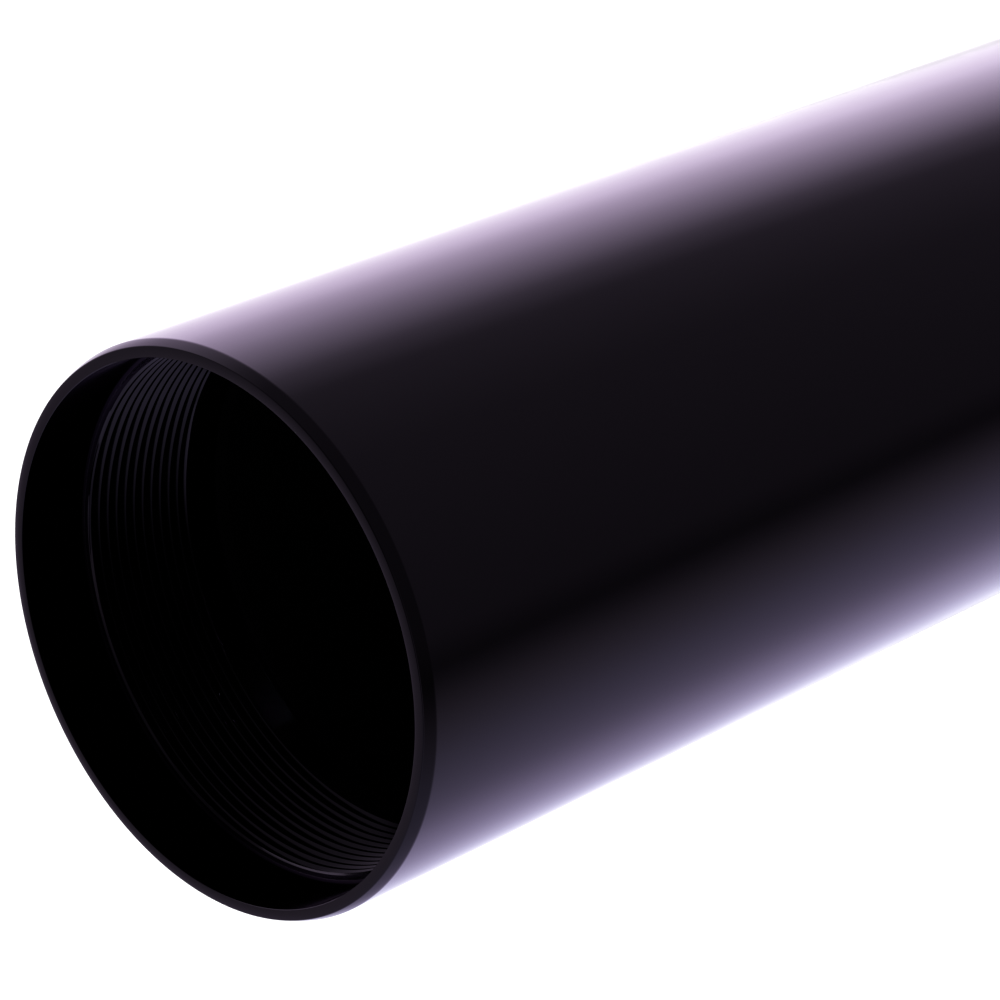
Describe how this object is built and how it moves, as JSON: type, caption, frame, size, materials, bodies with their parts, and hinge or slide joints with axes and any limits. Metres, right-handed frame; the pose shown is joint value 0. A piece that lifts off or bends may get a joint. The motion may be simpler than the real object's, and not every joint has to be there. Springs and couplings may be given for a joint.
{
  "type": "barlow lens",
  "caption": "Long-tube Barlow lens for telescopes: a smooth black barrel with a threaded nose and a coated doublet inside, and a head whose split ring and thumbscrews clamp an eyepiece.",
  "frame": {"origin": "centre of the face that the eyepiece goes into, on the optical axis", "axes": "+Z along the optical axis towards the open nose, +X through the thumbscrews, metres"},
  "size_m": [0.057, 0.039, 0.132],
  "materials": {
    "gloss_black": "gloss black anodised",
    "matt_black": "matt black anodised",
    "black_screw": "black oxide steel",
    "rubber": "matt moulded rubber, ribbed",
    "brass": "satin",
    "steel": "turned stainless steel",
    "knob_black": "black anodised, knurled",
    "lens_glass": "anti-reflection coated"
  },
  "bodies": {
    "barrel_and_head": {"nose_barrel": "gloss_black", "holder_body": "gloss_black", "clamp_collar": "gloss_black", "grip_ring": "rubber", "split_ring": "brass", "barrel_lock_screw_1": "black_screw", "barrel_lock_screw_2": "black_screw", "barrel_lock_screw_3": "black_screw", "collar_lock_screw": "black_screw", "glare_stop_front": "matt_black", "glare_stop_rear": "matt_black"},
    "screw_1_stud": {"thumbscrew_1_stud": "steel"},
    "screw_1_knob": {"thumbscrew_1_knob": "knob_black"},
    "screw_2_stud": {"thumbscrew_2_stud": "steel"},
    "screw_2_knob": {"thumbscrew_2_knob": "knob_black"},
    "optics": {"crown_lens": "lens_glass", "lens_spacer": "matt_black", "flint_lens": "lens_glass"},
    "cell": {"lens_cell": "matt_black", "retaining_ring": "matt_black"}
  },
  "joints": [
    {"name": "screw_1_travel", "type": "slide", "parent": "barrel_and_head", "child": "screw_1_stud", "axis": [1, 0, 0], "range_m": [0, 0.0021]},
    {"name": "screw_1_turn", "type": "hinge", "parent": "screw_1_stud", "child": "screw_1_knob", "pos_m": [0.024, 0, 0.00755], "axis": [1, 0, 0], "range_deg": [0, 1081]},
    {"name": "screw_2_travel", "type": "slide", "parent": "barrel_and_head", "child": "screw_2_stud", "axis": [-1, 0, 0], "range_m": [0, 0.0021]},
    {"name": "screw_2_turn", "type": "hinge", "parent": "screw_2_stud", "child": "screw_2_knob", "pos_m": [-0.024, 0, 0.00755], "axis": [-1, 0, 0], "range_deg": [0, 1081]},
    {"name": "cell_travel", "type": "slide", "parent": "barrel_and_head", "child": "optics", "axis": [0, 0, 1], "range_m": [0, 0.0036]},
    {"name": "cell_turn", "type": "hinge", "parent": "optics", "child": "cell", "pos_m": [0, 0, 0.099], "axis": [0, 0, 1], "range_deg": [0, 1729]}
  ],
  "couplings": [
    {"joint": "screw_1_turn", "follows": "screw_1_travel", "rad_per_m": 8976},
    {"joint": "screw_2_turn", "follows": "screw_2_travel", "rad_per_m": 8976},
    {"joint": "cell_turn", "follows": "cell_travel", "rad_per_m": 8377.6}
  ]
}
